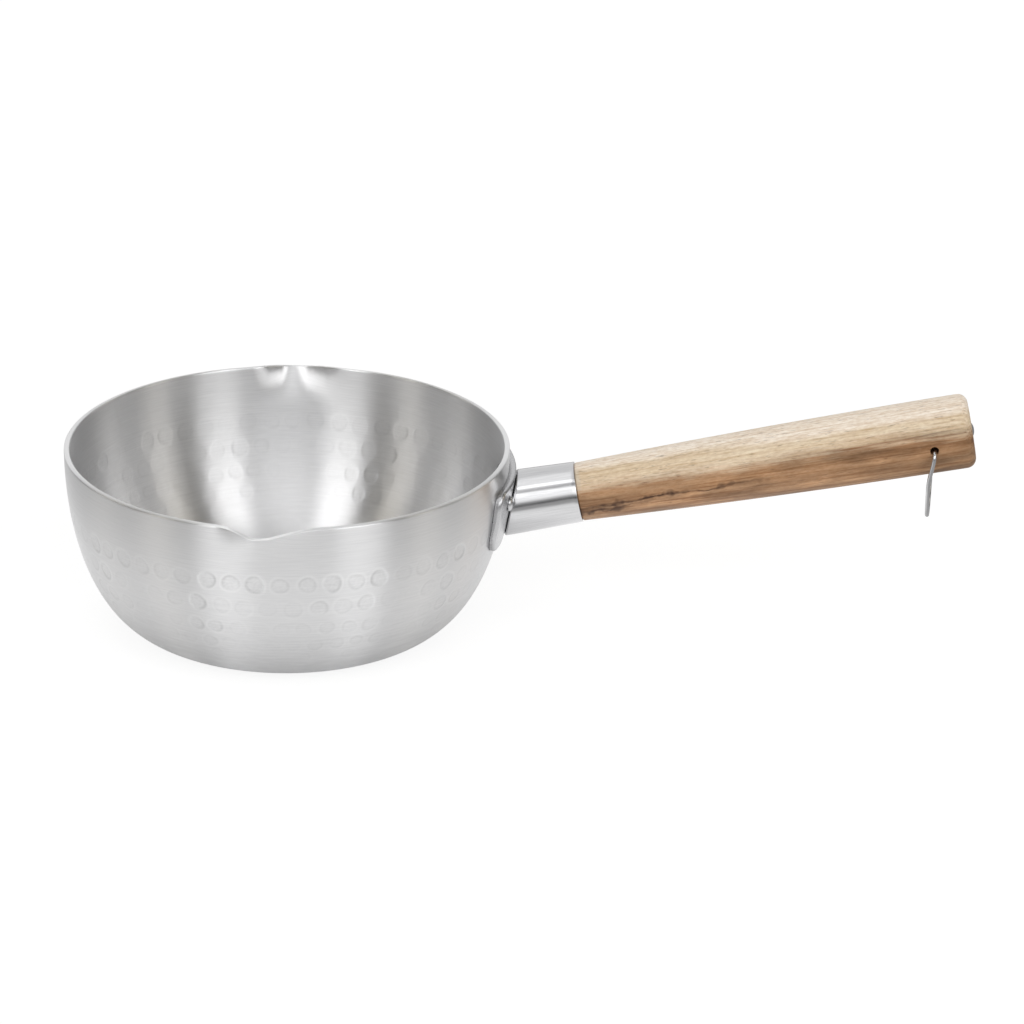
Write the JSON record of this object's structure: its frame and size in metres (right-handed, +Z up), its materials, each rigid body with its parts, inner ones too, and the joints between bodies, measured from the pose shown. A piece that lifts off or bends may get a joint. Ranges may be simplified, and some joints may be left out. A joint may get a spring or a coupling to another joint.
{
  "type": "yukihira pan",
  "caption": "Hammered aluminium saucepan with pouring lips at both sides, a riveted saddle and ferrule, a turned wooden handle and a swinging wire hanging ring.",
  "frame": {"origin": "middle of the flat base, on the surface that the pan stands on", "axes": "+X along the handle, away from the bowl; +Y towards one pouring lip; +Z up"},
  "size_m": [0.3759, 0.1956, 0.1049],
  "materials": {
    "bowl": "satin brushed, hammered on the outside",
    "bracket": "satin",
    "rivet": "polished",
    "ferrule": "brushed along its length",
    "grip": "smooth, clear coated",
    "bolt": "dull",
    "ring": "bright"
  },
  "bodies": {
    "pan": {"bowl": "bowl", "handle_bracket": "bracket", "rivet_left": "rivet", "rivet_right": "rivet", "ferrule": "ferrule", "wooden_handle": "grip", "tie_bolt": "bolt"},
    "ring": {"hanging_ring": "ring"}
  },
  "joints": [
    {"name": "ring_swing", "type": "hinge", "parent": "pan", "child": "ring", "pos_m": [0.26558, 0, 0.0861], "axis": [0, -1, 0], "range_deg": [-48, 248]}
  ]
}
